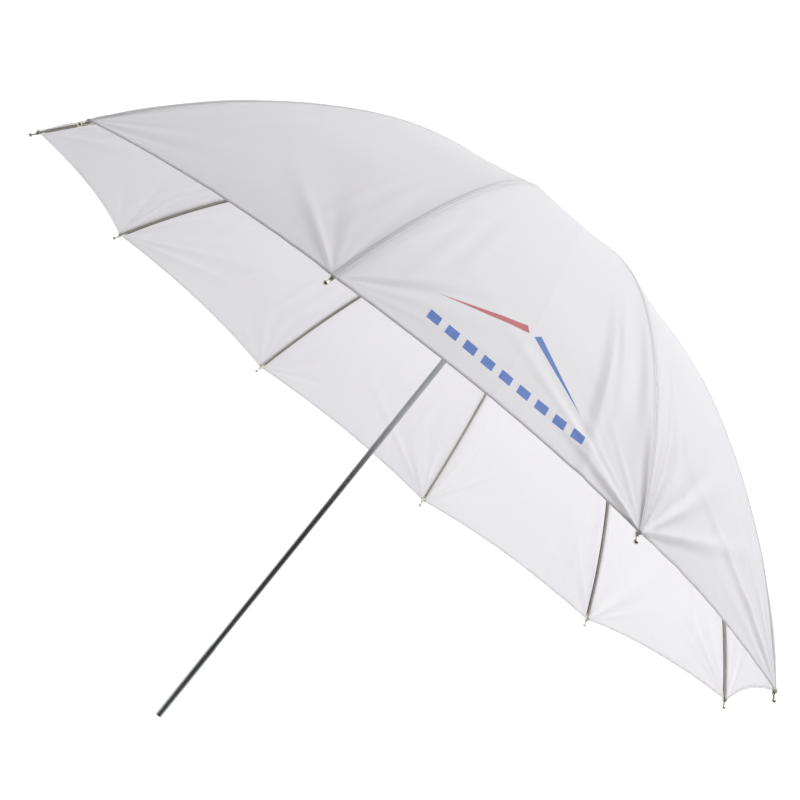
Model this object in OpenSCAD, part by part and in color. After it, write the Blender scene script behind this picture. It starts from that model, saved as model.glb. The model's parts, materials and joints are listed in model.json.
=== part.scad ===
// Umbrella reflector: a thin fabric canopy on curved steel ribs, which fold as a runner slides on the shaft.
// The shaft stands along +Z with the canopy on top. The origin is the centre of the shaft's free end,
// which a lamp bracket grips. Each rib leaves the crown nearly level and bends down along two tangent arcs.

/* [Canopy] */
// Radius of the open rim, at the ends of the ribs
rim_r = 515; // [430:1:620]
// Height of the rim above the free end of the shaft
rim_z = 415; // [340:1:500]
// Slope of a rib where it leaves the crown, in degrees below level
crown_slope = 0; // [-4:0.5:5]
// Slope of a rib halfway along
mid_slope = 34; // [28:0.5:40]
// Slope of a rib at its end
tip_slope = 54.5; // [48:0.5:62]
// Part of a rib's length by which the hem draws back in the middle of a gore
hem_draw = 0.015; // [0.005:0.005:0.06]
// Thickness of the fabric shell
fabric_t = 0.8; // [0.6:0.1:1.2]
// Radius of the round patch over the middle of the canopy
patch_r = 20; // [17:0.5:30]
// Thickness of the patch
patch_t = 0.6; // [0.4:0.1:1]

/* [Frame] */
// Number of ribs
rib_count = 10; // [8:1:10]
// Length of a stretcher between its pivots, and of the rib from its crown pivot to the rivet
stretcher_l = 235; // [195:1:285]
// Width of a rib's channel
rib_w = 2.8; // [2.6:0.1:4]
// Depth of a rib's channel
rib_h = 2.8; // [2.3:0.1:4]
// Width of a stretcher's channel
strut_w = 2.4; // [2.2:0.1:3.4]
// Depth of a stretcher's channel
strut_h = 2.6; // [2.5:0.1:3.6]
// Sheet that the channels are rolled from
channel_t = 0.4; // [0.3:0.05:0.6]
// Thickness of the flattened ends that turn on the wires and rivets
tongue_t = 1.4; // [1.1:0.1:1.8]
// Radius of the rivets
rivet_r = 0.7; // [0.5:0.05:0.9]
// Length of a rib tip past the end of the rib's channel
tip_l = 19; // [16:0.5:24]
// Radius of the ball on a rib tip
tip_ball_r = 2.2; // [1.8:0.1:2.4]

/* [Shaft] */
// Diameter of the shaft tube
shaft_d = 7; // [5.8:0.1:8.4]
// Wall of the shaft tube
shaft_wall = 0.6; // [0.5:0.1:0.9]
// Wall of the sleeve on the shaft's free end
sleeve_wall = 0.5; // [0.3:0.1:1.5]
// Length of the sleeve
sleeve_l = 95; // [60:1:130]
// Length of the plug in the shaft's free end
plug_l = 8; // [5:0.5:14]

/* [Crown and runner] */
// Radius of the circle that the rib and stretcher pivots lie on
pivot_r = 9; // [8.6:0.1:10.8]
// Rim of the slotted heads of the crown and the runner, outside the pivots
head_rim = 3.5; // [3:0.1:4.5]
// Diameter of the pivot wires
wire_d = 1.2; // [1:0.1:1.4]
// Length of the runner below its pivots
runner_l = 34; // [26:1:44]
// Radius of the runner's barrel
barrel_r = 5.8; // [5.2:0.1:6.4]
// Radius of the finger collar at the foot of the runner
collar_r = 8; // [7:0.5:10]
// Height of the cap on top of the canopy, without its round end
cap_h = 8; // [6:0.5:14]

/* [Catch] */
// Height of the catch spring's nose outside the shaft
catch_out = 2.6; // [2:0.1:3.2]
// Length of the catch spring below its nose, down to its anchor hole
catch_l = 86; // [60:1:100]
// Direction that the catch faces
catch_az = -90; // [-180:1:180]

/* [Fits] */
// Radial clearance of the runner on the shaft
run_fit = 0.05; // [0.02:0.01:0.1]
// Radial clearance of the rivets in their holes
rivet_fit = 0.03; // [0.02:0.01:0.08]
// Radial clearance of the rib and stretcher eyes on the curved wires
wire_fit = 0.3; // [0.2:0.05:0.4]
// Gap on each side of a flattened end in its slot
slot_fit = 0.3; // [0.2:0.05:0.4]
// Gap between fabric and frame
fabric_gap = 0.3; // [0.2:0.05:0.5]
// Half the gap between neighbouring pieces of fabric
seam_gap = 0.05; // [0.02:0.01:0.15]

/* [Hidden] */
$fn = 48;
pitch = 360 / rib_count;
half_pitch = pitch / 2;
rad = PI / 180;

// The two arcs of a rib are equally long, and reach from the pivot circle to the rim.
turn_in = (mid_slope - crown_slope) * rad;
turn_out = (tip_slope - mid_slope) * rad;
reach_in = (sin(mid_slope) - sin(crown_slope)) / turn_in;
reach_out = (sin(tip_slope) - sin(mid_slope)) / turn_out;
half_l = (rim_r - pivot_r) / (reach_in + reach_out);
rib_l = 2 * half_l;
bend_in = half_l / turn_in;
bend_out = half_l / turn_out;
mid_r = pivot_r + bend_in * (sin(mid_slope) - sin(crown_slope));
mid_drop = bend_in * (cos(crown_slope) - cos(mid_slope));
crown_z = rim_z + mid_drop + bend_out * (cos(mid_slope) - cos(tip_slope));

// A rib's channel stands this far above and below the line through its pivots.
rib_top = 0.6 * rib_h;
rib_foot = rib_top - rib_h;
neck_l = 8;
tongue_foot = 1.2;
bite = 3;
crimp_l = 3;
rib_eye_r = 2;

// The spigot on a rib's end, and the cup that is pressed on it.
spigot_r = 1;
cup_l = 9;
cup_r = 1.8;
cup_lip = 0.2;
cup_lip_h = 1;
cup_end_t = 1;
cup_gap = 0.1;

// The rivet lies on the inner arc, one stretcher length from the crown pivot.
rivet_turn = 2 * asin(stretcher_l / (2 * bend_in));
strut_rise = crown_slope + rivet_turn / 2;
runner_z = crown_z - 2 * stretcher_l * sin(strut_rise);
strut_eye_r = 1.8;
eye_fit = 0.1;
rivet_eye_r = rib_top - channel_t - eye_fit;
rivet_head_r = 1.9 * rivet_r;
rivet_head_t = 0.6;
strut_neck = 8;
strut_tongue = 12;

shaft_r = shaft_d / 2;
bore_r = shaft_r - shaft_wall;
plug_inset = 0.2;

// The heads of the crown and the runner, and the crown's neck.
slot_w = tongue_t + 2 * slot_fit;
eye_gap = 0.4;
slot_floor_r = pivot_r - rib_eye_r - eye_gap;
head_r = pivot_r + head_rim;
head_below = 3;
neck_r = shaft_r + 2.5;
neck_h = 9;
collar_h = 5;

// The fabric is flat across from rib to rib, so it falls away to both sides of a rib, most at its tip.
// There it still clears the rib's edges and the lip of the cup, which is straight while the fabric curves.
side_fall = atan(tan(half_pitch) * sin(tip_slope));
edge_top = rib_top + rib_w / 2 * tan(side_fall);
lip_top = (cup_r + cup_lip) / cos(side_fall) + cup_l * cup_l / (2 * bend_out);
fabric_lift = max(edge_top, lip_top) + fabric_gap;
fabric_r = head_r + 1;

// The boss on the crown, the patch and the cap are stacked in this order.
boss_top = fabric_lift + fabric_t + fabric_gap;
patch_z = crown_z + boss_top;
cap_z = patch_z + patch_t;
cap_r = shaft_r + 1.7;
cap_taper = 1.2;
cap_flange = 3.5;
cap_flange_t = 1.4;
shaft_l = cap_z + cap_h;

// The catch spring's nose holds up the foot of the open runner.
catch_wire_r = 0.6;
catch_gap = 0.4;
catch_z = runner_z - runner_l - catch_wire_r - catch_gap;
catch_slope_l = 13;
catch_tail = 18;
catch_inset = 2.4 * catch_wire_r;
hook_out = 0.4;
anchor_z = catch_z - catch_l;

// Cutting shapes run on past the faces they cut by this much.
over = 1;

// The fabric shell is drawn with this many strips along a rib and across half a gore.
strips_along = 22;
strips_across = 4;

function two_digits(i) = str(i < 10 ? "0" : "", i);
function rib_name(i) = str("rib_", two_digits(i));
function tip_name(i) = str("rib_tip_", two_digits(i));
function strut_name(i) = str("stretcher_", two_digits(i));
function gore_name(i, side) = str("gore_", two_digits(i), "_", side);

// Slope, radius and height of a rib's pivot line at the distance s along it.
function slope_at(s) =
    s <= half_l ? crown_slope + (mid_slope - crown_slope) * s / half_l
    : mid_slope + (tip_slope - mid_slope) * (s - half_l) / half_l;
function r_at(s) =
    s <= half_l ? pivot_r + bend_in * (sin(slope_at(s)) - sin(crown_slope))
    : mid_r + bend_out * (sin(slope_at(s)) - sin(mid_slope));
function z_at(s) =
    s <= half_l ? crown_z - bend_in * (cos(crown_slope) - cos(slope_at(s)))
    : crown_z - mid_drop - bend_out * (cos(mid_slope) - cos(slope_at(s)));

// Puts its children at a rib's azimuth.
module on_rib(i) {
    rotate([0, 0, (i - 1) * pitch]) children();
}

// Puts its children at the distance s along a rib, with X along the rib and Z out of the canopy.
module along_rib(s) {
    translate([r_at(s), 0, z_at(s)]) rotate([0, slope_at(s), 0]) children();
}

// A round bar across the rib's plane, centred.
module cross_bar(r, w) {
    rotate([90, 0, 0]) cylinder(r = r, h = w, center = true);
}

// The section of a folded channel, open towards -X, with its web at top.
module channel(w, h, top) {
    translate([top - h, -w / 2]) difference() {
        square([h, w]);
        translate([-channel_t, channel_t]) square([h, w - 2 * channel_t]);
    }
}

// The channel bent to a radius, from slope_a to slope_b, around a centre that lies below it.
module bent_channel(bend, slope_a, slope_b) {
    rotate([90, 0, 0]) rotate([0, 0, 90 - slope_b])
        rotate_extrude(angle = slope_b - slope_a, $fn = 360) translate([bend, 0])
            channel(rib_w, rib_h, rib_top);
}

module rib(i) {
    end_s = rib_l - cup_l;
    color("slategray") on_rib(i) difference() {
        union() {
            translate([pivot_r - bend_in * sin(crown_slope), 0, crown_z - bend_in * cos(crown_slope)])
                bent_channel(bend_in, slope_at(neck_l), mid_slope);
            translate([mid_r - bend_out * sin(mid_slope), 0, crown_z - mid_drop - bend_out * cos(mid_slope)])
                bent_channel(bend_out, mid_slope, slope_at(end_s));
            along_rib(0) rib_neck();
            along_rib(half_l) rib_crimp();
            along_rib(end_s) rib_spigot();
        }
        along_rib(0) cross_bar(wire_d / 2 + wire_fit, 2 * tongue_t);
        along_rib(rivet_turn * rad * bend_in) cross_bar(rivet_r + rivet_fit, 2 * rib_w);
    }
}

// The flattened inner end of a rib, with its eye.
module rib_neck() {
    cross_bar(rib_eye_r, tongue_t);
    translate([0, -tongue_t / 2, -tongue_foot])
        cube([neck_l + bite, tongue_t, tongue_foot + rib_top - channel_t / 2]);
}

// A short stretch where the channel is pressed shut, centred where the two arcs meet.
module rib_crimp() {
    translate([-crimp_l / 2, -rib_w / 2 + channel_t / 2, rib_foot + channel_t / 2])
        cube([crimp_l, rib_w - channel_t, rib_h - channel_t]);
}

// The closed outer end of a rib, with the round spigot that its tip is pressed on.
module rib_spigot() {
    root = crimp_l / 2;
    translate([-root, 0, 0]) rib_crimp();
    translate([-root, 0, 0]) rotate([0, 90, 0])
        cylinder(r = spigot_r, h = root + cup_l - 2 * cup_end_t);
}

// A pressed metal cup with a thin neck and a ball on its end. The corner of the canopy is tied to its neck.
module rib_tip(i) {
    ball_x = tip_l - tip_ball_r;
    neck_from = cup_l - cup_lip_h / 2;
    color("silver") on_rib(i) along_rib(rib_l - cup_l) rotate([0, 90, 0]) {
        difference() {
            union() {
                translate([0, 0, cup_gap]) cylinder(r = cup_r, h = cup_l - cup_gap);
                translate([0, 0, cup_l - cup_lip_h]) cylinder(r = cup_r + cup_lip, h = cup_lip_h);
                translate([0, 0, neck_from]) cylinder(r = cup_r / 2, h = ball_x - neck_from);
                translate([0, 0, ball_x]) sphere(r = tip_ball_r);
            }
            cylinder(r = spigot_r, h = cup_l - cup_end_t);
        }
    }
}

// A straight channel with a flattened eye at each end, and the rivet that joins it to its rib.
module stretcher(i) {
    color("gray") on_rib(i) translate([pivot_r, 0, runner_z]) rotate([0, -strut_rise, 0]) {
        difference() {
            union() {
                cross_bar(strut_eye_r, tongue_t);
                translate([0, -tongue_t / 2, -tongue_foot])
                    cube([strut_neck + bite, tongue_t, 2 * tongue_foot]);
                translate([strut_neck, 0, 0]) rotate([90, 0, 90])
                    linear_extrude(stretcher_l - strut_neck - strut_tongue)
                        rotate(90) channel(strut_w, strut_h, strut_h / 2);
                translate([stretcher_l - strut_tongue - bite, -tongue_t / 2, -rivet_eye_r])
                    cube([strut_tongue + bite, tongue_t, 2 * rivet_eye_r]);
                translate([stretcher_l, 0, 0]) cross_bar(rivet_eye_r, tongue_t);
            }
            cross_bar(wire_d / 2 + wire_fit, 2 * tongue_t);
            translate([stretcher_l, 0, 0]) cross_bar(rivet_r + rivet_fit, 2 * tongue_t);
        }
        translate([stretcher_l, 0, 0]) rivet();
    }
}

module rivet() {
    head_y = rib_w / 2 + run_fit;
    cross_bar(rivet_r, 2 * head_y + rivet_head_t);
    for (side = [-1, 1])
        translate([0, side * (head_y + rivet_head_t / 2), 0]) cross_bar(rivet_head_r, rivet_head_t);
}

// The slots that the flattened ends turn in, and the groove for the wire through their eyes.
module slots_and_groove() {
    groove_r = pivot_r - wire_d / 2 - run_fit;
    for (i = [1:rib_count])
        on_rib(i) translate([slot_floor_r, -slot_w / 2, -2 * head_r]) cube([head_r, slot_w, 4 * head_r]);
    translate([0, 0, -wire_d / 2 - run_fit]) difference() {
        cylinder(r = head_r + over, h = wire_d + 2 * run_fit);
        cylinder(r = groove_r, h = wire_d + 2 * run_fit);
    }
}

module pivot_wire(z) {
    color("silver") translate([0, 0, z]) rotate_extrude() translate([pivot_r, 0]) circle(d = wire_d);
}

module crown() {
    color("dimgray") translate([0, 0, crown_z]) difference() {
        union() {
            translate([0, 0, -head_below]) cylinder(r = head_r, h = head_below + rib_top);
            translate([0, 0, -neck_h]) cylinder(r = neck_r, h = neck_h);
            cylinder(r = slot_floor_r, h = boss_top);
        }
        slots_and_groove();
        translate([0, 0, -2 * neck_h]) cylinder(r = shaft_r, h = 4 * neck_h);
    }
}

module runner() {
    color("dimgray") translate([0, 0, runner_z]) difference() {
        union() {
            translate([0, 0, -head_below]) cylinder(r = head_r, h = head_below + strut_eye_r);
            translate([0, 0, -runner_l]) cylinder(r = barrel_r, h = runner_l);
            translate([0, 0, -runner_l]) cylinder(r = collar_r, h = collar_h);
            translate([0, 0, collar_h - runner_l]) cylinder(r1 = collar_r, r2 = barrel_r, h = collar_h);
        }
        slots_and_groove();
        translate([0, 0, -2 * runner_l]) cylinder(r = shaft_r + run_fit, h = 4 * runner_l);
    }
}

// Turns its children to the side that the catch faces.
module facing_catch() {
    rotate([0, 0, catch_az]) children();
}

module shaft_tube() {
    slot = 2 * (catch_wire_r + slot_fit);
    slot_l = slot + catch_slope_l;
    color("gainsboro") difference() {
        cylinder(r = shaft_r, h = shaft_l);
        translate([0, 0, -over]) cylinder(r = bore_r, h = shaft_l + 2 * over);
        facing_catch() {
            translate([0, -slot / 2, catch_z + slot - slot_l]) cube([shaft_d, slot, slot_l]);
            translate([0, 0, anchor_z]) rotate([0, 90, 0]) cylinder(d = slot, h = shaft_d);
        }
    }
}

module shaft_sleeve() {
    color("silver") difference() {
        cylinder(r = shaft_r + sleeve_wall, h = sleeve_l);
        translate([0, 0, -over]) cylinder(r = shaft_r, h = sleeve_l + 2 * over);
    }
}

module shaft_plug() {
    color("black") translate([0, 0, plug_inset]) cylinder(r = bore_r, h = plug_l - plug_inset);
}

// A wire bent flat: it is hooked in the anchor hole, runs up inside the tube, slopes out through the slot
// to its nose, turns square back into the tube and ends there.
module catch_spring() {
    inner = bore_r - catch_inset;
    nose = shaft_r + catch_out - catch_wire_r;
    path = [
        [shaft_r + hook_out, anchor_z],
        [inner, anchor_z],
        [inner, catch_z - catch_slope_l],
        [nose, catch_z],
        [0, catch_z],
        [0, catch_z + catch_tail]
    ];
    color("silver") facing_catch()
        for (k = [1:len(path) - 1]) wire_between(path[k - 1], path[k]);
}

// A straight piece of spring wire between two points given as radius and height, with its ends run on
// a little so that it meets the next piece. Its own seam is turned square to the bends.
module wire_between(a, b) {
    run = b - a;
    run_on = 0.6 * catch_wire_r;
    translate([a[0], 0, a[1]]) rotate([0, atan2(run[0], run[1]), 0]) translate([0, 0, -run_on])
        rotate(90) cylinder(r = catch_wire_r, h = norm(run) + 2 * run_on);
}

module canopy_patch() {
    color("white") translate([0, 0, patch_z]) difference() {
        cylinder(r = patch_r, h = patch_t);
        translate([0, 0, -over]) cylinder(r = shaft_r, h = patch_t + 2 * over);
    }
}

module canopy_cap() {
    color("silver") translate([0, 0, cap_z]) difference() {
        union() {
            cylinder(r = cap_r + cap_flange, h = cap_flange_t);
            cylinder(r1 = cap_r + cap_taper, r2 = cap_r, h = cap_h);
            translate([0, 0, cap_h]) sphere(r = cap_r);
        }
        translate([0, 0, -over]) cylinder(r = shaft_r, h = cap_h + over);
    }
}

// Half a gore, from its rib at v = 0 to its middle fold at v = 1. It is flat across from rib to rib, and
// its hem draws back towards the middle. The layers 0 and 1 are the inner and outer faces.
function gore_point(s, v, lift) =
    let (
        r = r_at(s) + lift * sin(slope_at(s)),
        across = r * v * cos(half_pitch) * sin(half_pitch)
    )
    [
        r * (1 - v * pow(sin(half_pitch), 2)),
        across + seam_gap * (1 - 2 * v),
        z_at(s) + lift * cos(slope_at(s))
    ];
function hem_at(v) = rib_l * (1 - hem_draw * v * (2 - v));
function corner(layer, u, v) = (layer * (strips_along + 1) + u) * (strips_across + 1) + v;
function quad(a, b, c, d) = [[a, b, c], [a, c, d]];

module half_gore(i, side) {
    from_s = fabric_r - pivot_r;
    points = [
        for (layer = [0, 1], u = [0:strips_along], v = [0:strips_across])
            let (across = v / strips_across)
            gore_point(
                from_s + (hem_at(across) - from_s) * u / strips_along,
                across,
                fabric_lift + layer * fabric_t
            )
    ];
    u_end = strips_along;
    v_end = strips_across;
    outer = [for (u = [0:u_end - 1], v = [0:v_end - 1])
        each quad(corner(1, u, v), corner(1, u, v + 1), corner(1, u + 1, v + 1), corner(1, u + 1, v))];
    inner = [for (u = [0:u_end - 1], v = [0:v_end - 1])
        each quad(corner(0, u, v), corner(0, u + 1, v), corner(0, u + 1, v + 1), corner(0, u, v + 1))];
    rib_edge = [for (u = [0:u_end - 1])
        each quad(corner(0, u, 0), corner(1, u, 0), corner(1, u + 1, 0), corner(0, u + 1, 0))];
    fold_edge = [for (u = [0:u_end - 1]) each quad(
        corner(0, u, v_end), corner(0, u + 1, v_end), corner(1, u + 1, v_end), corner(1, u, v_end)
    )];
    crown_edge = [for (v = [0:v_end - 1])
        each quad(corner(0, 0, v), corner(0, 0, v + 1), corner(1, 0, v + 1), corner(1, 0, v))];
    hem_edge = [for (v = [0:v_end - 1]) each quad(
        corner(0, u_end, v), corner(1, u_end, v), corner(1, u_end, v + 1), corner(0, u_end, v + 1)
    )];
    color("whitesmoke") on_rib(i) mirror([0, side < 0 ? 1 : 0, 0])
        polyhedron(points, concat(outer, inner, rib_edge, fold_edge, crown_edge, hem_edge));
}

shaft_tube();
shaft_sleeve();
shaft_plug();
catch_spring();
crown();
pivot_wire(crown_z);  // crown_wire
runner();
pivot_wire(runner_z);  // runner_wire
canopy_patch();
canopy_cap();
for (i = [1:rib_count]) {
    rib(i);
    rib_tip(i);
    stretcher(i);
    half_gore(i, 1);
    half_gore(i % rib_count + 1, -1);
}
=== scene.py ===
# %% [markdown]
# # An umbrella reflector
# This is the umbrella that a photographer shines a lamp through or into: ten curved steel ribs, a thin
# white nylon canopy sewn over them, and a plain bright shaft that a lamp bracket grips by its end.
# The steel frame, the shaft and everything that turns or slides is already right in the CAD model, so
# those pieces stay and only get better finishes. The cloth is made here, because cloth is all in its
# surface: tension, folds at the corners, turned hems and stitched seams. Places are read from the
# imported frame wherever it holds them, so the frame is loaded first and its box is kept.

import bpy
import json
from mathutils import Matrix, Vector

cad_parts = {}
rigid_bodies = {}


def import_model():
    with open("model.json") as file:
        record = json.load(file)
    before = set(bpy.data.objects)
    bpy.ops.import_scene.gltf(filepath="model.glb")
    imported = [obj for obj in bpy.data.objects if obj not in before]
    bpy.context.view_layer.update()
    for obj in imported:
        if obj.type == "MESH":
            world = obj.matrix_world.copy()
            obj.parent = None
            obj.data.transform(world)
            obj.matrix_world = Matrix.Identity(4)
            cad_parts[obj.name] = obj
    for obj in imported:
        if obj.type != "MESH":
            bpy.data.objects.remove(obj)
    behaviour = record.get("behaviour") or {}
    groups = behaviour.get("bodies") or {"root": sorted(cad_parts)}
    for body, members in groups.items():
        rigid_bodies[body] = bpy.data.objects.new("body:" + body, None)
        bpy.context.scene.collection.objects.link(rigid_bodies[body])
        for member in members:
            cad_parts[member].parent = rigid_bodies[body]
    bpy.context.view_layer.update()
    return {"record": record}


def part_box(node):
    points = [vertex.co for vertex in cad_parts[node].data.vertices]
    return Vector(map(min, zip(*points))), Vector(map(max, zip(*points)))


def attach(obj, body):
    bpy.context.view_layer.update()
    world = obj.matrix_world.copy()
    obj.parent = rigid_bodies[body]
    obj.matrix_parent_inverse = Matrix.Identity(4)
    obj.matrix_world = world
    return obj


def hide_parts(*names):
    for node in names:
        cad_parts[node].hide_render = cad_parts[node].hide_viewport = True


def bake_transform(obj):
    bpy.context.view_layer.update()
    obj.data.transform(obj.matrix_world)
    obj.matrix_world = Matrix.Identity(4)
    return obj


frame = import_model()

# %% [markdown]
# ## Tools and names
# Blender's own module makes the objects and numpy works out their shapes. The frame's record already
# names the bodies and joints, so they are looked up there and not written out again.

# %% The tools
import json
import math

import bpy
import numpy as np
from mathutils import Matrix, Vector

MM = 0.001
JOINTS = {joint["name"]: joint for joint in frame["record"]["behaviour"]["joints"]}
SHAFT = "shaft_and_crown"
RIBS = 10
PITCH = 2 * math.pi / RIBS


def rib_name(number):
    """The body of a rib. Numbers run on past the last rib to the first."""
    return f"rib_{(number - 1) % RIBS + 1:02d}"

# %% [markdown]
# ## The curve of a rib
# Every piece of cloth hangs on the same line, so that line comes first. On the real umbrella each rib
# leaves the crown nearly level and the pull of the cloth bends it down, more and more towards the tip.
# A spline through measured points could draw it, but two arcs that meet without a kink are enough, and
# the CAD ribs are made from the same two arcs. Only their three slopes and the two ends are needed.

# %% The rib curve
CROWN_SLOPE, MID_SLOPE, TIP_SLOPE = np.radians([0.0, 34.0, 54.5])
RIM_R = 515 * MM
pivot_r, _, crown_z = JOINTS["rib_01_hinge"]["pos_m"]
reach = (
    (math.sin(MID_SLOPE) - math.sin(CROWN_SLOPE)) / (MID_SLOPE - CROWN_SLOPE)
    + (math.sin(TIP_SLOPE) - math.sin(MID_SLOPE)) / (TIP_SLOPE - MID_SLOPE)
)
HALF_L = (RIM_R - pivot_r) / reach
RIB_L = 2 * HALF_L
BEND_IN = HALF_L / (MID_SLOPE - CROWN_SLOPE)
BEND_OUT = HALF_L / (TIP_SLOPE - MID_SLOPE)


def rib_slope(s):
    """Slope of a rib below level, in radians, at the distance s along it: it grows evenly from the
    crown's slope to the middle's, and then evenly, but slower, to the tip's."""
    inner = CROWN_SLOPE + (MID_SLOPE - CROWN_SLOPE) * s / HALF_L
    outer = MID_SLOPE + (TIP_SLOPE - MID_SLOPE) * (s - HALF_L) / HALF_L
    return np.where(s <= HALF_L, inner, outer)


def rib_line(s, lift):
    """Radius and height of the line that runs lift above a rib's pivots, at the distance s along it.
    On an arc of radius B the radius grows by B times the difference of the slopes' sines, and the
    height falls by B times the difference of their cosines. Lift is measured square to the rib."""
    a = rib_slope(s)
    mid_r = pivot_r + BEND_IN * (math.sin(MID_SLOPE) - math.sin(CROWN_SLOPE))
    mid_z = crown_z - BEND_IN * (math.cos(CROWN_SLOPE) - math.cos(MID_SLOPE))
    r_in = pivot_r + BEND_IN * (np.sin(a) - math.sin(CROWN_SLOPE))
    z_in = crown_z - BEND_IN * (math.cos(CROWN_SLOPE) - np.cos(a))
    r_out = mid_r + BEND_OUT * (np.sin(a) - math.sin(MID_SLOPE))
    z_out = mid_z - BEND_OUT * (math.cos(MID_SLOPE) - np.cos(a))
    r = np.where(s <= HALF_L, r_in, r_out) + lift * np.sin(a)
    z = np.where(s <= HALF_L, z_in, z_out) + lift * np.cos(a)
    return r, z


end_r, end_z = rib_line(np.array(RIB_L), 0.0)
print(f"rib {RIB_L / MM:.1f} mm long, ending at r {end_r / MM:.1f} and z {end_z / MM:.1f} mm")

# %% [markdown]
# ## Putting arrays into meshes
# A sheet of cloth is a grid of points, and its faces follow from the grid's shape alone. So one helper
# takes the points as a three-dimensional array and writes them into a mesh in one go, with a UV map in
# metres for the weave and any per-point numbers that the materials need.

# %% The mesh helpers


def grid_faces(rows, columns):
    """The four corners of each cell of a grid of rows by columns points, as indices into its points
    laid out row after row, turning from the rows' direction to the columns' direction."""
    first = (np.arange(rows - 1)[:, None] * columns + np.arange(columns - 1)[None, :]).ravel()
    return np.stack([first, first + columns, first + columns + 1, first + 1], axis=1)


def new_piece(name, points, faces, uv=None, numbers=None):
    """A smooth mesh object at the origin from an array of points and a list of faces. uv gives two
    numbers for each point, and numbers is a dict of per-point attributes."""
    mesh = bpy.data.meshes.new(name)
    mesh.from_pydata(points.reshape(-1, 3).tolist(), [], faces)
    corners = np.zeros(len(mesh.loops), np.int32)
    mesh.loops.foreach_get("vertex_index", corners)
    if uv is not None:
        layer = mesh.uv_layers.new(name="cloth")
        layer.data.foreach_set("uv", uv.reshape(-1, 2)[corners].astype(np.float32).ravel())
    for key, values in (numbers or {}).items():
        attribute = mesh.attributes.new(key, "FLOAT", "POINT")
        attribute.data.foreach_set("value", values.astype(np.float32).ravel())
    mesh.polygons.foreach_set("use_smooth", np.ones(len(mesh.polygons), bool))
    mesh.update()
    piece = bpy.data.objects.new(name, mesh)
    bpy.context.scene.collection.objects.link(piece)
    return piece


def mesh_area(piece):
    """The sum of a mesh's face areas, in square metres."""
    areas = np.zeros(len(piece.data.polygons))
    piece.data.polygons.foreach_get("area", areas)
    return float(areas.sum())

# %% [markdown]
# ## Writing materials as sums
# A finish is mostly arithmetic: a mask here, a little noise there. Wiring Math nodes by hand hides
# that, so a small class wraps a socket and lets Python's own operators add the nodes. Everything else
# comes from one method that takes the node's type, its settings and what goes into its sockets.

# %% The shader tools


class Signal:
    """A value that a node gives. Using + - * / on it adds Math nodes to its graph."""

    def __init__(self, graph, socket):
        self.graph = graph
        self.socket = socket

    def __add__(self, other):
        return self.graph.math("ADD", self, other)

    def __radd__(self, other):
        return self.graph.math("ADD", other, self)

    def __sub__(self, other):
        return self.graph.math("SUBTRACT", self, other)

    def __rsub__(self, other):
        return self.graph.math("SUBTRACT", other, self)

    def __mul__(self, other):
        return self.graph.math("MULTIPLY", self, other)

    def __rmul__(self, other):
        return self.graph.math("MULTIPLY", other, self)

    def __truediv__(self, other):
        return self.graph.math("DIVIDE", self, other)

    def __rtruediv__(self, other):
        return self.graph.math("DIVIDE", other, self)

    def size(self):
        """The value without its sign."""
        return self.graph.math("ABSOLUTE", self)

    def sine(self):
        """The sine of the value, in radians."""
        return self.graph.math("SINE", self)

    def fraction(self):
        """What is left of the value above the whole number below it."""
        return self.graph.math("FRACT", self)

    def below(self, edge):
        """1 where the value is less than the edge, and 0 elsewhere."""
        return self.graph.math("LESS_THAN", self, edge)

    def at_least(self, least):
        """The larger of the value and least."""
        return self.graph.math("MAXIMUM", self, least)

    def rise(self, low, high):
        """0 up to low, 1 from high, and an S-curve between them."""
        settings = {"interpolation_type": "SMOOTHSTEP"}
        return self.graph.node("ShaderNodeMapRange", settings, {0: self, 1: low, 2: high})

# %% [markdown]
# ## Wiring a graph
# A material and the world are both a graph of nodes, so one class wires either. It has one method for
# any node, and short names for the four things that every finish here is made from: sums, noise, mixed
# colours and bumps.

# %% The graph of a material
class Graph:
    """The nodes of a material or of the world while they are being wired."""

    def __init__(self, owner):
        owner.use_nodes = True
        self.owner = owner
        self.tree = owner.node_tree
        self.tree.nodes.clear()

    def node(self, kind, settings=None, sockets=None, out=0):
        """Adds a node. settings are set first; sockets holds a value or a Signal for each input, by
        name or number. Gives the output named out."""
        node = self.tree.nodes.new(kind)
        for key, value in (settings or {}).items():
            setattr(node, key, value)
        for key, value in (sockets or {}).items():
            if isinstance(value, Signal):
                self.tree.links.new(value.socket, node.inputs[key])
            else:
                node.inputs[key].default_value = value
        return Signal(self, node.outputs[out]) if node.outputs else None

    def math(self, operation, *values):
        """One Math node on the values, in their order."""
        return self.node("ShaderNodeMath", {"operation": operation}, dict(enumerate(values)))

    def noise(self, scale, detail=3.0, vector=None, roughness=0.5):
        """Noise from 0 to 1, in Object coordinates unless a vector is given."""
        where = self.node("ShaderNodeTexCoord", out="Object") if vector is None else vector
        sockets = {"Vector": where, "Scale": scale, "Detail": detail, "Roughness": roughness}
        return self.node("ShaderNodeTexNoise", {}, sockets, out="Fac")

    def mix(self, share, a, b):
        """Colour a where share is 0 and colour b where it is 1."""
        return self.node("ShaderNodeMix", {"data_type": "RGBA"}, {0: share, 6: a, 7: b}, out=2)

    def bump(self, height, distance, strength=1.0):
        """The normal of a surface raised by height times distance."""
        sockets = {"Height": height, "Distance": distance, "Strength": strength}
        return self.node("ShaderNodeBump", {}, sockets)

    def finish(self, shader, output="ShaderNodeOutputMaterial"):
        """Wires the shader to the output and gives the finished material or world."""
        self.node(output, {}, {"Surface": shader})
        return self.owner


def material_graph(name):
    """The graph of a new material."""
    return Graph(bpy.data.materials.new(name))

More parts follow.
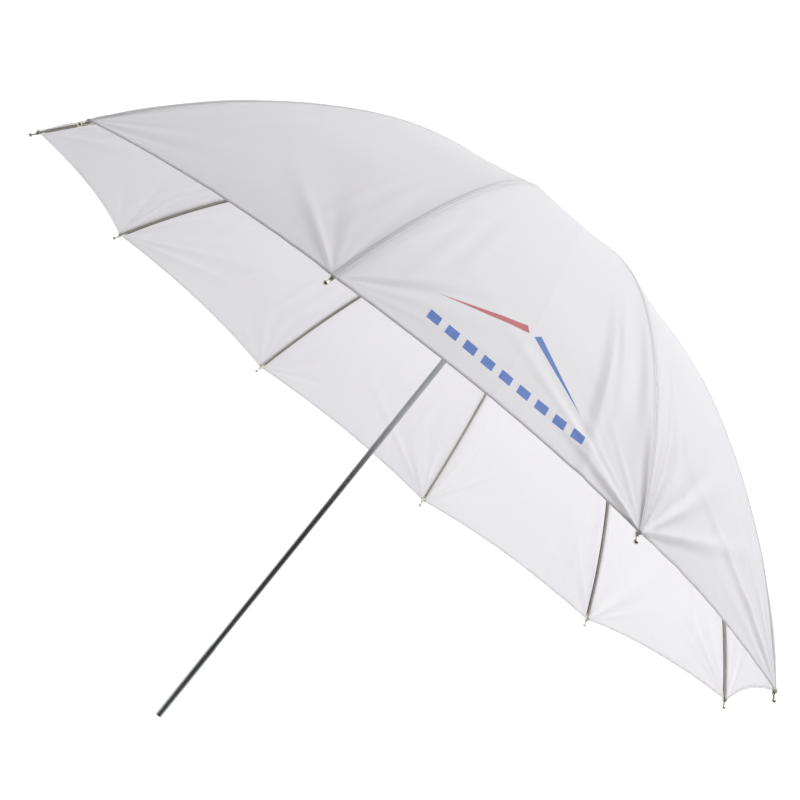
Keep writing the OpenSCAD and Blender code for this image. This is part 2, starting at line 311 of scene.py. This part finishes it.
# %% [markdown]
# ## The canopy cloth
# The cloth is a thin, tightly woven white nylon. It lets about half of the light through, so the side
# away from the lamp glows, and where it lies double, in hems and seams, less comes through and more is
# bounced back. A Principled node alone can't glow from behind, so it is mixed with
# a Translucent one. Threads, a faint crumple and the stitching are in the bump, because they are far
# thinner than the cloth's own grid. Two numbers on each point say how far it is from the folded hem and
# from the seam, and rows of thread are drawn at set distances from those.

# %% Weave and stitches
HEM_W = 3 * MM
SEAM_W = 2.3 * MM
STITCH_L = 2.8 * MM
THREAD_W = 0.35 * MM
WEAVE = 0.45 * MM
HEM_STITCH, SEAM_STITCH = 2.3 * MM, 1.6 * MM
STITCH_SHARE = 0.74
SOFT_EDGE = 0.3 * MM


def stitches(distance, along, offset):
    """1 on a row of stitches that runs at offset: thread for three quarters of each stitch length."""
    near = 1.0 - ((distance - offset).size() / THREAD_W).rise(0.6, 1.0)
    return near * (along / STITCH_L).fraction().below(STITCH_SHARE)


def threads(across, along, pitch):
    """The weave's height: warp and weft as two crossed sines."""
    warp = (across * (2 * math.pi / pitch)).sine()
    weft = (along * (2 * math.pi / pitch)).sine()
    return (warp * weft) * 0.5 + 0.5


def cloth_shader(graph, colour, normal, share):
    """Light bounced off the cloth mixed with light let through it, in the given share."""
    front = graph.node(
        "ShaderNodeBsdfPrincipled", {},
        {"Base Color": colour, "Roughness": 0.5, "Specular IOR Level": 0.3,
         "Sheen Weight": 0.1, "Normal": normal},
    )
    back = graph.node("ShaderNodeBsdfTranslucent", {}, {"Color": colour, "Normal": normal})
    return graph.node("ShaderNodeMixShader", {}, {0: share, 1: front, 2: back})

# %% [markdown]
# ## The print
# One gore has a plain print in red and blue. On the real umbrella it is screen-printed ink. A second
# mesh laid on the cloth would flicker through it, so the ink is only a colour here, drawn in the same
# flat measures as the weave: the distance across the gore and the distance along it. That way it lies
# true on the cloth and folds with it.

# %% The print
STRIPE_W = 9 * MM
RED_FROM, RED_TO = (-84 * MM, 544 * MM), (-4 * MM, 501 * MM)
BLUE_FROM, BLUE_TO = (70 * MM, 547 * MM), (6 * MM, 501 * MM)
ROW_AT, ROW_L = 572 * MM, 171 * MM
BLOCK_H, BLOCK_PITCH = 11 * MM, 19 * MM
RED, BLUE = (0.48, 0.09, 0.10, 1), (0.045, 0.15, 0.50, 1)
INK = 0.9


def tapered_stripe(across, along, start, end, width):
    """1 inside a stripe that widens evenly from a point at start to its full width at end: u is the
    share of its length that a point lies along it, and v the distance from its middle line."""
    run, fall = end[0] - start[0], end[1] - start[1]
    length = math.hypot(run, fall)
    u = ((across - start[0]) * run + (along - start[1]) * fall) / length**2
    v = ((across - start[0]) * fall - (along - start[1]) * run) / length
    return v.size().below(u * (width / 2)) * u.below(1.0)


def block_row(across, along, middle, length, height, pitch):
    """1 inside a row of plain blocks that run across the gore: place is how far along its own pitch a
    point lies, and each block fills the middle of it."""
    inside = (along - middle).size().below(height / 2) * across.size().below(length / 2)
    place = (across / pitch + 0.5).fraction()
    return inside * place.rise(0.18, 0.20) * place.below(0.81)


def with_print(graph, colour, across, along):
    """The cloth's colour with a plain printed decoration: two stripes and a row of blocks."""
    red = tapered_stripe(across, along, RED_FROM, RED_TO, STRIPE_W)
    blue = tapered_stripe(across, along, BLUE_FROM, BLUE_TO, STRIPE_W)
    row = block_row(across, along, ROW_AT, ROW_L, BLOCK_H, BLOCK_PITCH)
    colour = graph.mix(red * INK, colour, RED)
    return graph.mix((blue + row) * INK, colour, BLUE)

# %% [markdown]
# ## The finished cloth
# The weave, the stitches and a soft crumple add up to one height for the bump. The colour drifts a
# little, and it is lighter where the cloth lies double, because less of the light goes through there.
# Along the middle line of each seam, where the bump dips into a groove, a painted shade keeps the colour
# less light than the rest of the seam.
# The printed gore is the same material with the print laid over its colour.

# %% The cloth's material
def make_cloth(name, printed=False):
    """White nylon that glows when lit from behind, lighter and less clear where it lies double, with a
    painted shade along the middle line of each seam.
    """
    graph = material_graph(name)
    uv = graph.node("ShaderNodeUVMap", {"uv_map": "cloth"})
    across = graph.node("ShaderNodeSeparateXYZ", {}, {0: uv}, out="X")
    along = graph.node("ShaderNodeSeparateXYZ", {}, {0: uv}, out="Y")
    hem = graph.node("ShaderNodeAttribute", {"attribute_name": "hem"}, out="Fac")
    seam = graph.node("ShaderNodeAttribute", {"attribute_name": "seam"}, out="Fac")
    in_hem = 1.0 - hem.rise(HEM_W - SOFT_EDGE, HEM_W + SOFT_EDGE)
    in_seam = 1.0 - seam.rise(SEAM_W - SOFT_EDGE, SEAM_W + SOFT_EDGE)
    thread = stitches(hem, across, HEM_STITCH) + stitches(seam, along, SEAM_STITCH)
    # The seam's middle line: a groove in the bump, and a painted shade in the colour below.
    seam_groove_and_shade = 1.0 - seam.rise(0.1 * MM, 0.5 * MM)
    crumple = graph.noise(22.0, 4.0, roughness=0.55)
    cloudy = graph.noise(5.0, 2.0)
    height = crumple * 0.7 + threads(across, along, WEAVE) * 0.06 + thread * 0.4 - seam_groove_and_shade * 0.3
    normal = graph.bump(height, 0.5 * MM, 0.6)
    colour = graph.mix(cloudy, (0.748, 0.738, 0.764, 1), (0.772, 0.761, 0.786, 1))
    # Painted shade: the seam's middle line is mixed less far towards the lighter white than the seam
    # round it.
    colour = graph.mix(in_seam * 0.9 + in_hem * 0.6 - seam_groove_and_shade * 0.5, colour, (0.87, 0.86, 0.875, 1))
    if printed:
        colour = with_print(graph, colour, across, along)
    share = 0.5 - in_seam * 0.26 - in_hem * 0.12
    return graph.finish(cloth_shader(graph, colour, normal, share))


cloth = make_cloth("canopy nylon")
printed_cloth = make_cloth("printed canopy nylon", printed=True)
PRINTED_GORE = 8
print("made", cloth.name, "and", printed_cloth.name)

# %% [markdown]
# ## How the cloth folds and pulls
# Between two ribs the cloth is nearly flat across: the hems and seams pull it straight. The pull
# gathers at each corner, where it throws up a fan of narrow creases that run out and fade over a hand's
# width. Each crease here is a ridge along a ray from the corner: its height follows a bell curve across
# the ray, and it rises and then dies away along it. A cloth simulation could find such folds, but a
# sheet stretched this tight hardly moves in one, and it would need far more points than it is worth.
# The middle of each gore also keeps a faint straight crease from being folded away.

# %% The shape of a gore
CLOTH_LIFT = 2.95 * MM
INNER_S = 4.5 * MM
HEM_DRAW = 0.015
SINK = 1.5 * MM
HALF_PITCH = PITCH / 2
CORNER_HALF_W = RIM_R * math.sin(HALF_PITCH)
SEAM_RISE = 0.35 * MM
FAN_CREASES = 8
FAN_OPEN = math.radians(76)
FAN_TALL = 1.35 * MM
LONG_FOLDS = (0.12, 0.27, 0.45)
LONG_TALL = 1.3 * MM
LONG_SEEDS = 500
CREASE_TALL, CREASE_W = 0.35 * MM, 4 * MM
WAVE_TALL = 0.8 * MM
FAN_CLEAR = 6 * MM
NEVER_ZERO = 1e-6


def hem_line(v):
    """The distance along the ribs at which the hem lies, v of the way from a rib to the middle: it
    draws back along a parabola that is level in the middle."""
    return RIB_L * (1 - HEM_DRAW * v * (2 - v))


def crease_fan(s, x, seed, strength):
    """Height of the creases that fan out from one corner. s runs along the rib, and x is the distance
    from the corner's rib line. A point's ray has the angle t, from 0 at the rib to 1 at the hem, and
    its distance from the corner is d. Each crease adds its height times a bell curve across the ray,
    exp(-((t - t0) / w)^2), times (d / l) * exp(1 - d / l), which rises to 1 at l and then dies away."""
    rng = np.random.default_rng(seed)
    d = np.hypot(RIB_L - s, x) + NEVER_ZERO
    t = np.arctan2(x, np.maximum(RIB_L - s, NEVER_ZERO)) / FAN_OPEN
    height = np.zeros_like(d)
    for place in np.linspace(0.1, 0.9, FAN_CREASES):
        centre = place + rng.uniform(-0.05, 0.05)
        width = rng.uniform(0.025, 0.06)
        length = rng.uniform(30, 80) * MM * (1.3 - 0.5 * place)
        tall = rng.uniform(-0.6, 1.0) * FAN_TALL
        across_ray = np.exp(-(((t - centre) / width) ** 2))
        height += tall * across_ray * (d / length) * np.exp(1 - d / length)
    edge = np.clip(t / 0.08, 0, 1) ** 2
    return strength * height * edge


def long_folds(s, x, half_w, seed, strength):
    """A few soft folds that run beside the rib, where the cloth is slack across: bells in the distance
    from the rib line, leaning a little, each with its own stretch of the rib."""
    rng = np.random.default_rng(seed + LONG_SEEDS)
    share = x / np.maximum(half_w, NEVER_ZERO)
    height = np.zeros_like(s)
    for place in LONG_FOLDS:
        centre = place + rng.uniform(-0.04, 0.04) + rng.uniform(-0.10, 0.10) * (RIB_L - s) / RIB_L
        width = rng.uniform(0.035, 0.07)
        start = RIB_L * rng.uniform(0.70, 0.86)
        spread = RIB_L * rng.uniform(0.10, 0.16)
        tall = rng.uniform(0.4, 1.0) * LONG_TALL
        height += tall * np.exp(-(((share - centre) / width) ** 2) - ((s - start) / spread) ** 2)
    return strength * height


def cloth_height(s, x, half_w, gore, strengths):
    """How far the cloth stands out of the flat surface between two ribs, at the signed distance x from
    the gore's middle. It is 0 on both ribs, so neighbouring gores meet there, and both halves of a gore
    use the same sum, so they meet in the middle."""
    share = np.clip(np.abs(x) / np.maximum(half_w, NEVER_ZERO), 0, 1)
    along = np.clip(s / RIB_L, 0, 1)
    sink = -SINK * (1 - share**2) * np.sin(np.pi * along**0.8) ** 0.7
    crease = CREASE_TALL * np.exp(-np.abs(x) / CREASE_W) * np.clip(along * 3, 0, 1)
    waves = WAVE_TALL * np.sin(9 * along * np.pi + gore) * np.sin(2.5 * x / CORNER_HALF_W + 2 * gore)
    total = sink + crease + waves * (1 - share**2) * along
    for side, number in ((-1, gore), (1, gore + 1)):
        from_rib = half_w - side * x
        total = total + SEAM_RISE * (1 - np.clip((from_rib - SEAM_W + 0.4 * MM) / (0.8 * MM), 0, 1))
        total = total - SEAM_RISE * (1 - np.clip(from_rib / (0.5 * MM), 0, 1))
        seed = 10 * gore + (side + 1)
        pull = strengths[number % RIBS]
        fan = crease_fan(s, CORNER_HALF_W - side * x, seed, pull)
        total = total + fan * np.clip(from_rib / FAN_CLEAR, 0, 1)
        total = total + long_folds(s, from_rib, half_w, seed, pull * (1 - share**8))
    return total


def gore_surface(gore, s, x, half_w, strengths, lift=0.0):
    """Points of a gore's cloth. Every chord between its two ribs is square to the plane through its
    middle, so a point is the middle line's point at s, plus x along the chord, plus the cloth's height
    along the normal, which lies in the middle plane."""
    slope = rib_slope(s)
    r, z = rib_line(s, CLOTH_LIFT)
    azimuth = (gore - 0.5) * PITCH
    outward = np.array([math.cos(azimuth), math.sin(azimuth), 0.0])
    chord = np.array([-math.sin(azimuth), math.cos(azimuth), 0.0])
    up = np.array([0.0, 0.0, 1.0])
    flat = math.cos(HALF_PITCH)
    size = np.hypot(np.sin(slope), flat * np.cos(slope))
    n_out, n_up = np.sin(slope) / size, flat * np.cos(slope) / size
    height = cloth_height(s, x, half_w, gore, strengths) + lift
    out = r * flat + height * n_out
    return out[..., None] * outward + (z + height * n_up)[..., None] * up + x[..., None] * chord

# %% [markdown]
# ## Half gores
# The canopy has ten gores, each cut as one piece. When the umbrella closes, the middle of a gore folds
# outwards while its sides stay on their ribs. So each gore is made in two halves that meet in its
# middle crease. The hem is turned in and stitched, so the grid runs round the edge and a little way
# back on the inside.

# %% Making the half gores
ROWS, COLUMNS = 130, 52
FOLD_GAP = 0.35 * MM
SEAM_COLUMNS = np.array([0, 0.25, 0.5, 1.2, 1.9, 2.3, 2.7, 3.8]) * MM
TURNED_ROWS = np.array([0.02, 0.3, 1.0, 2.0, 3.0])[:, None] * MM
CLOSER = 1.25
STRENGTHS = {number: 1.25 for number in range(RIBS)}
STRENGTHS.update({9: 3.2, 8: 1.8, 0: 2.1})


def cloth_columns(s):
    """How far each column is from the rib, 0 to 1 of the way to the middle, for rows at the distances s:
    the first few are set by the seam's width, and the rest spread out over what is left."""
    half_w = rib_line(s, CLOTH_LIFT)[0] * math.sin(HALF_PITCH)
    fit = np.minimum(1, 0.4 * half_w / SEAM_COLUMNS[-1])
    near = SEAM_COLUMNS[None, :] * (fit / half_w)[:, None]
    rest = np.linspace(0, 1, COLUMNS - len(SEAM_COLUMNS) + 1)[1:] ** CLOSER
    return np.hstack([near, near[:, -1:] + (1 - near[:, -1:]) * rest])


def half_gore(gore, side):
    """One half of a gore, as a grid: rows run from the crown to the hem, then round the hem's edge and
    back by its width; columns run from the rib to the middle."""
    u = 1 - (1 - np.linspace(0, 1, ROWS)) ** CLOSER
    v = cloth_columns(INNER_S + (RIB_L - INNER_S) * u)
    edge = hem_line(v)
    s_out = INNER_S + (edge - INNER_S) * u[:, None]
    back = TURNED_ROWS
    s = np.vstack([s_out, edge[-1:] - back])
    v = np.vstack([v, np.repeat(v[-1:], len(back), axis=0)])
    under = -FOLD_GAP * np.clip(back / (0.35 * MM), 0.5, 1) * np.ones_like(v[:1])
    lift = np.vstack([np.zeros_like(s_out), under])
    hem = np.vstack([edge - s_out, back * np.ones_like(v[:1])])
    half_w = rib_line(s, CLOTH_LIFT)[0] * math.sin(HALF_PITCH)
    sign = -1 if side == "left" else 1
    x = sign * half_w * (1 - v)
    points = gore_surface(gore, s, x, half_w, STRENGTHS, lift)
    faces = grid_faces(*s.shape)
    if sign < 0:
        faces = faces[:, ::-1]
    uv = np.stack([x, np.vstack([s_out, edge[-1:] + back])], axis=-1)
    name = f"gore_{gore:02d}_{side}_cloth"
    numbers = {"hem": hem, "seam": half_w - np.abs(x)}
    piece = new_piece(name, points, faces[:, ::-1].tolist(), uv, numbers)
    return piece, v


canopy = {}
for gore in range(1, RIBS + 1):
    for side in ("left", "right"):
        piece, across = half_gore(gore, side)
        piece.data.materials.append(printed_cloth if gore == PRINTED_GORE else cloth)
        node = f"gore_{gore:02d}_{side}"
        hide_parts(node)
        canopy[node] = (piece, across)
print(len(canopy), "half gores of", mesh_area(canopy["gore_01_left"][0]), "square metres each")

# %% [markdown]
# ## Thread and wire
# The corners of the canopy are tied to the necks of the rib tips with a few turns of thread, and the
# catch in the shaft is a bent spring wire. Both are tubes swept along a path. The path is smoothed by
# averaging each point with its neighbours, which rounds every bend like a real wire's. The tube's
# section is carried by a reference direction for each point that never lies along the path.

# %% Sweeping a tube


def resampled(corners, step):
    """Points at about equal steps along the straight lines between the corners."""
    corners = np.asarray(corners, float)
    lengths = np.concatenate([[0], np.cumsum(np.linalg.norm(np.diff(corners, axis=0), axis=1))])
    places = np.linspace(0, lengths[-1], max(8, round(lengths[-1] / step)))
    return np.stack([np.interp(places, lengths, corners[:, axis]) for axis in range(3)], axis=1)


def smoothed(path, rounds):
    """The path with its bends rounded: rounds times, each inner point becomes a quarter of each
    neighbour plus half of itself."""
    for _ in range(rounds):
        path = np.vstack([path[:1], (path[:-2] + 2 * path[1:-1] + path[2:]) / 4, path[-1:]])
    return path


def tube(name, path, reference, radius, sides=10):
    """A closed tube round a path: a ring of sides points round each path point, and a middle point on
    each end. Ring point k stands at radius * (cos(a) n + sin(a) b), where a is k turns over sides."""
    along = np.gradient(path, axis=0)
    along /= np.linalg.norm(along, axis=1, keepdims=True)
    b = np.cross(along, reference)
    b /= np.linalg.norm(b, axis=1, keepdims=True)
    n = np.cross(b, along)
    turn = np.linspace(0, 2 * math.pi, sides, endpoint=False)[None, :, None]
    rings = path[:, None] + radius * (np.cos(turn) * n[:, None] + np.sin(turn) * b[:, None])
    count = len(path)
    k = np.arange(sides)
    after = (k + 1) % sides
    row = (np.arange(count - 1) * sides)[:, None]
    walls = np.stack([row + k, row + sides + k, row + sides + after, row + after], axis=-1).reshape(-1, 4)
    first, last = count * sides, count * sides + 1
    end = (count - 1) * sides
    caps = np.vstack([
        np.stack([np.full(sides, first), k, after], axis=1),
        np.stack([np.full(sides, last), end + after, end + k], axis=1),
    ])
    points = np.vstack([rings.reshape(-1, 3), path[:1], path[-1:]])
    return new_piece(name, points, [*walls[:, ::-1].tolist(), *caps[:, ::-1].tolist()])

# %% [markdown]
# ## Corner ties
# Each tie takes five turns round the thin neck of the tip, just past the cup's lip, and then goes three
# times up through the canopy's corner and back. Its shape is written in the rib's own measures: the
# distance along the rib, the distance sideways and the lift, and then turned into place.

# %% Making the ties
NECK_S = RIB_L + 0.3 * MM
THREAD_R = 0.28 * MM
TIE_TURNS, TIE_R, TIE_W = 5, 1.35 * MM, 1.9 * MM


def on_rib(number, s, side, lift):
    """Points given in a rib's measures, in the frame."""
    r, z = rib_line(s, lift)
    azimuth = (number - 1) * PITCH
    x = r * math.cos(azimuth) - side * math.sin(azimuth)
    y = r * math.sin(azimuth) + side * math.cos(azimuth)
    return np.stack([x, y, z], axis=-1)


def corner_tie(number):
    """A tie's tube. Its path is a helix round the neck, TIE_R * (sin, cos) of the turned angle, and
    then three loops through the canopy's corner, each beside the last."""
    turns = np.linspace(0, TIE_TURNS * 2 * math.pi, 90)
    wrap = np.stack([
        NECK_S + TIE_W * turns / turns[-1],
        TIE_R * np.sin(turns),
        TIE_R * np.cos(turns),
    ], axis=1)
    loops = []
    for side in (-1.3, 0.1, 1.4):
        loops += [
            (NECK_S + 0.4 * MM, side * 0.7 * MM, 1.7 * MM),
            (RIB_L - 0.6 * MM, side * MM, CLOTH_LIFT + 0.5 * MM),
            (RIB_L - 2.8 * MM, side * 1.1 * MM, CLOTH_LIFT + 0.45 * MM),
            (RIB_L - 3.2 * MM, side * 1.1 * MM, CLOTH_LIFT - 0.9 * MM),
            (NECK_S - 0.4 * MM, side * 0.9 * MM, CLOTH_LIFT - 0.6 * MM),
        ]
    measures = smoothed(np.vstack([wrap, resampled(loops, 0.35 * MM)]), 3)
    path = on_rib(number, measures[:, 0], measures[:, 1], measures[:, 2])
    level = 0 * measures[:, 0]
    axis = on_rib(number, measures[:, 0] + 0.9 * MM, level, level - 3 * MM)
    return tube(f"corner_tie_{number:02d}", path, path - axis, THREAD_R, 6)


def make_thread():
    """Twisted cotton: very fine noise in its colour and its bump."""
    graph = material_graph("white thread")
    strands = graph.noise(2600.0, 2.0)
    colour = graph.mix(strands, (0.62, 0.61, 0.58, 1), (0.80, 0.79, 0.76, 1))
    normal = graph.bump(strands, 0.1 * MM, 0.6)
    return graph.finish(graph.node(
        "ShaderNodeBsdfPrincipled", {},
        {"Base Color": colour, "Roughness": 0.7, "Sheen Weight": 0.3, "Normal": normal},
    ))


thread_material = make_thread()
ties = {}
for number in range(1, RIBS + 1):
    tie = corner_tie(number)
    tie.data.materials.append(thread_material)
    ties[number] = tie
print(len(ties), "ties of", len(ties[1].data.polygons), "faces")

# %% [markdown]
# ## The round patch
# A disc of the same cloth covers the middle, where ten gores would otherwise leave a ragged hole. It
# lies on the crown's boss, under the cap's flange, and falls a little to the canopy round it. It is a
# polar grid, closed up in the middle by the shaft's hole, with a stitched, turned edge.

# %% Making the patch
PATCH_R = 20 * MM
HOLE_R = 3.9 * MM
boss_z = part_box("canopy_patch")[0][2]


def patch():
    """The patch as a polar grid: rows run from the shaft's hole to the edge and back under it, and the
    height falls by a power of the radius, with a ripple of one wave for each rib."""
    rings, spokes = 40, 121
    r = np.linspace(HOLE_R, PATCH_R, rings)
    r = np.concatenate([r, PATCH_R - np.array([0.0, 0.6, 1.6, 2.6]) * MM])[:, None]
    a = np.linspace(0, 2 * math.pi, spokes)[None, :]
    under = np.concatenate([np.zeros(rings), [0.15, 0.3, 0.3, 0.3]])[:, None] * MM
    fall = 0.35 * MM * np.clip((r - 8 * MM) / (9 * MM), 0, 1) ** 1.5
    ripple = 0.12 * MM * (r / PATCH_R) ** 3 * np.sin(RIBS * a + 0.6)
    z = boss_z + 0.5 * MM - fall + ripple - under
    points = np.stack([r * np.cos(a), r * np.sin(a), z + 0 * a], axis=-1)
    uv = np.stack([r * np.cos(a), r * np.sin(a)], axis=-1)
    hem = np.abs(PATCH_R - r) + 0 * a
    faces = grid_faces(*points.shape[:2]).tolist()
    return new_piece("canopy_patch_cloth", points, faces, uv, {"hem": hem, "seam": hem + 1})


patch_piece = patch()
patch_piece.data.materials.append(cloth)
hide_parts("canopy_patch")

# %% [markdown]
# ## The catch spring
# The catch is one piece of spring wire: hooked in a hole low in the tube, it runs up inside, slopes out
# through the slot to a nose that holds up the open runner, and turns square back in. It follows the CAD
# spring's path, but with rounded bends. Its hook stays in the tube and its nose is what moves.

# %% Making the catch spring
SHAFT_R = 3.5 * MM
WIRE_R = 0.6 * MM
INNER_R = 1.46 * MM
NOSE_R = 5.5 * MM
spring_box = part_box("catch_spring")
anchor_z = spring_box[0][2] + WIRE_R
tail_z = spring_box[1][2]
NOSE_DOWN, NOSE_SLOPE_L = 18.36 * MM, 13 * MM
nose_z = tail_z - NOSE_DOWN


def catch_wire():
    """The spring's tube along its corners: out through the anchor hole, up inside, down to the nose,
    square back in and up to the tail."""
    corners = [
        (0, -SHAFT_R - 0.3 * MM, anchor_z), (0, -INNER_R, anchor_z), (0, -INNER_R, nose_z - NOSE_SLOPE_L),
        (0, -NOSE_R, nose_z), (0, 0, nose_z), (0, 0, tail_z),
    ]
    path = smoothed(resampled(corners, 0.4 * MM), 4)
    sideways = np.tile([1.0, 0.0, 0.0], (len(path), 1))
    return tube("catch_wire", path, sideways, WIRE_R, 12)


spring = catch_wire()
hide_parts("catch_spring")
print("the spring's nose is at z", round(nose_z / MM, 1), "mm")

# %% [markdown]
# ## The metals and the plastic
# Steel and plastic that have been handled are never even. All the metals here come from one recipe: a
# large, soft noise varies the colour and gloss like finger marks, a fine noise stretched along the piece
# makes the drawing lines, and small spots rub through to brighter metal. Only the numbers differ, so a
# table of finishes is all that is needed. The plastic has a fine spark-eroded grain instead.

# %% The hard finishes


def make_metal(name, colour, worn, roughness, stretch, mark_scale, spots, metallic=1.0):
    """A metal of the given colour that varies towards the worn colour. stretch scales the noise that
    makes the drawing lines, and spots is how high the noise has to be to rub through."""
    graph = material_graph(name)
    place = graph.node("ShaderNodeTexCoord", out="Object")
    lined = graph.node("ShaderNodeMapping", {}, {"Vector": place, "Scale": stretch})
    marks = graph.noise(mark_scale, 4.0, roughness=0.6)
    lines = graph.noise(1.0, 3.0, lined)
    rubbed = graph.noise(mark_scale * 7, 5.0, roughness=0.7).rise(spots, spots + 0.12)
    base = graph.mix(marks.rise(0.35, 0.7), (*colour, 1), (*[0.86 * c for c in colour], 1))
    base = graph.mix(rubbed, base, (*worn, 1))
    gloss = marks * 0.12 + lines * 0.08 + (roughness - 0.10)
    normal = graph.bump(lines * 0.6 + marks * 0.4, 0.05 * MM, 0.2)
    return graph.finish(graph.node(
        "ShaderNodeBsdfPrincipled", {},
        {"Base Color": base, "Metallic": metallic, "Roughness": gloss, "Normal": normal},
    ))


def make_plastic(name, colour):
    """A moulded plastic with a fine grain, greyer where it is rubbed."""
    graph = material_graph(name)
    grain = graph.noise(2400.0, 3.0)
    marks = graph.noise(60.0, 4.0)
    base = graph.mix(marks.rise(0.4, 0.75), (*colour, 1), (*[2.2 * c for c in colour], 1))
    gloss = marks * 0.2 + 0.32
    return graph.finish(graph.node(
        "ShaderNodeBsdfPrincipled", {},
        {"Base Color": base, "Roughness": gloss, "Specular IOR Level": 0.4,
         "Normal": graph.bump(grain, 0.08 * MM, 0.5)},
    ))


ALONG_SHAFT = (260.0, 260.0, 5.0)
EVEN = (500.0, 500.0, 500.0)
FINISHES = {
    "rib_steel": make_metal(
        "rib steel", (0.40, 0.38, 0.34), (0.66, 0.64, 0.60), 0.36, EVEN, 26.0, 0.60, 0.85,
    ),
    "stretcher_steel": make_metal(
        "stretcher steel", (0.42, 0.40, 0.37), (0.68, 0.66, 0.62), 0.36, EVEN, 30.0, 0.60, 0.85,
    ),
    "nickel": make_metal(
        "nickel", (0.58, 0.55, 0.46), (0.80, 0.77, 0.70), 0.26, EVEN, 90.0, 0.58,
    ),
    "chromed_tube": make_metal(
        "chromed tube", (0.46, 0.475, 0.485), (0.56, 0.57, 0.58), 0.24, ALONG_SHAFT, 12.0, 0.70,
    ),
    "spring_wire": make_metal(
        "spring wire", (0.50, 0.49, 0.47), (0.72, 0.71, 0.69), 0.30, ALONG_SHAFT, 70.0, 0.60,
    ),
    "runner_plastic": make_plastic("runner plastic", (0.020, 0.020, 0.022)),
    "plug_plastic": make_plastic("plug plastic", (0.018, 0.018, 0.018)),
}
spring.data.materials.append(FINISHES["spring_wire"])
dressed = 0
for subpart in frame["record"]["subparts"]:
    finish = FINISHES.get(subpart["material_slot"])
    if finish and subpart["node"] in bpy.data.objects:
        for place in bpy.data.objects[subpart["node"]].material_slots:
            place.material = finish
        dressed += 1
print("dressed", dressed, "hard pieces")

# %% [markdown]
# ## The studio
# The umbrella stands before a white sweep, lit from behind and from the right, with a dark room behind
# the photographer. That is what gives the bright shaft its dark middle and pale edges. The world's colour
# therefore depends only on its direction: it is white all round and falls to dark in the direction that
# the camera looks away from. What the camera itself sees behind the umbrella is white from every side.

# %% The world, the lights and the floor
LOOK = (0.09350, 0.98597, 0.13835)
RIGHT = (0.76640, -0.15998, 0.62213)
SIDE_LIGHT, BACK_LIGHT, DARK_LIGHT = 0.56, 0.62, 0.06


def make_world():
    """White in every direction but the dark one, and brightest straight ahead of the camera. ahead is
    the cosine of the angle between a direction and the way the camera looks."""
    graph = Graph(bpy.data.worlds.new("studio"))
    away = graph.node("ShaderNodeTexCoord", out="Generated")
    product = {"operation": "DOT_PRODUCT"}
    ahead = graph.node("ShaderNodeVectorMath", product, {0: away, 1: LOOK}, out="Value")
    strength = ahead.rise(-0.55, 0.0) * SIDE_LIGHT + ahead.rise(0.75, 0.95) * BACK_LIGHT + DARK_LIGHT
    seen = graph.node("ShaderNodeLightPath", out="Is Camera Ray")
    sockets = {"Color": (1, 1, 1, 1), "Strength": strength.at_least(seen)}
    return graph.finish(graph.node("ShaderNodeBackground", {}, sockets), "ShaderNodeOutputWorld")


bpy.context.scene.world = make_world()


def soft_light(name, place, target, size, power):
    """A square soft light at place, turned to shine at the target."""
    lamp = bpy.data.lights.new(name, "AREA")
    lamp.shape = "SQUARE"
    lamp.size = size
    lamp.energy = power
    holder = bpy.data.objects.new(name, lamp)
    bpy.context.scene.collection.objects.link(holder)
    holder.location = place
    holder.rotation_euler = (Vector(target) - Vector(place)).to_track_quat("-Z", "Y").to_euler()


soft_light("key", (0.9, -0.25, 2.9), (0, 0, 0.55), 1.6, 60)

FLOOR_Z = -0.35
FLOOR_FRONT = -0.9
FLOOR_SIDE = 30.0
corners = np.array([(-1, 0), (1, 0), (1, 1), (-1, 1)]) * FLOOR_SIDE + (0, FLOOR_FRONT)
floor = new_piece("floor", np.hstack([corners, np.full((4, 1), FLOOR_Z)]), [[0, 1, 2, 3]])
graph = material_graph("pale floor")
pale = graph.mix(graph.noise(3.0), (0.95, 0.95, 0.95, 1), (0.97, 0.97, 0.97, 1))
floor.data.materials.append(graph.finish(graph.node(
    "ShaderNodeBsdfPrincipled", {},
    {"Base Color": pale, "Roughness": 0.9, "Emission Color": pale, "Emission Strength": 0.6},
)))

# %% [markdown]
# ## The camera
# The camera looks slightly up from below the rim, rolled so that the shaft leans to the right. Three
# directions square to each other say that more plainly than angles would, and become its matrix.

# %% The camera
FOCAL_MM = 60.26
CAMERA_PLACE = (-0.15580, -1.52407, 0.23102)
camera = bpy.data.objects.new("camera", bpy.data.cameras.new("camera"))
bpy.context.scene.collection.objects.link(camera)
bpy.context.scene.camera = camera
camera.data.sensor_width = 36
camera.data.lens = FOCAL_MM
camera.data.clip_end = 100
right = Vector(RIGHT).normalized()
back = -Vector(LOOK).normalized()
up = back.cross(right).normalized()
turn = Matrix((up.cross(back), up, back)).transposed()
camera.matrix_world = Matrix.Translation(CAMERA_PLACE) @ turn.to_4x4()
bpy.context.scene.view_settings.view_transform = "Standard"

# %% [markdown]
# ## What moves with what
# Each half gore is baked into place in the frame and its area is taken. Ties ride on their ribs, the
# patch on the crown. The catch spring is baked into place and its points are read out.

for node, (piece, across) in canopy.items():
    gore, side = int(node[5:7]), node[8:]
    rib = rib_name(gore if side == "left" else gore + 1)
    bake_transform(piece)
    mesh_area(piece)
for number, tie in ties.items():
    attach(tie, rib_name(number))
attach(patch_piece, SHAFT)
mesh_area(patch_piece)
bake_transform(spring)
wire = np.zeros(len(spring.data.vertices) * 3)
spring.data.vertices.foreach_get("co", wire)
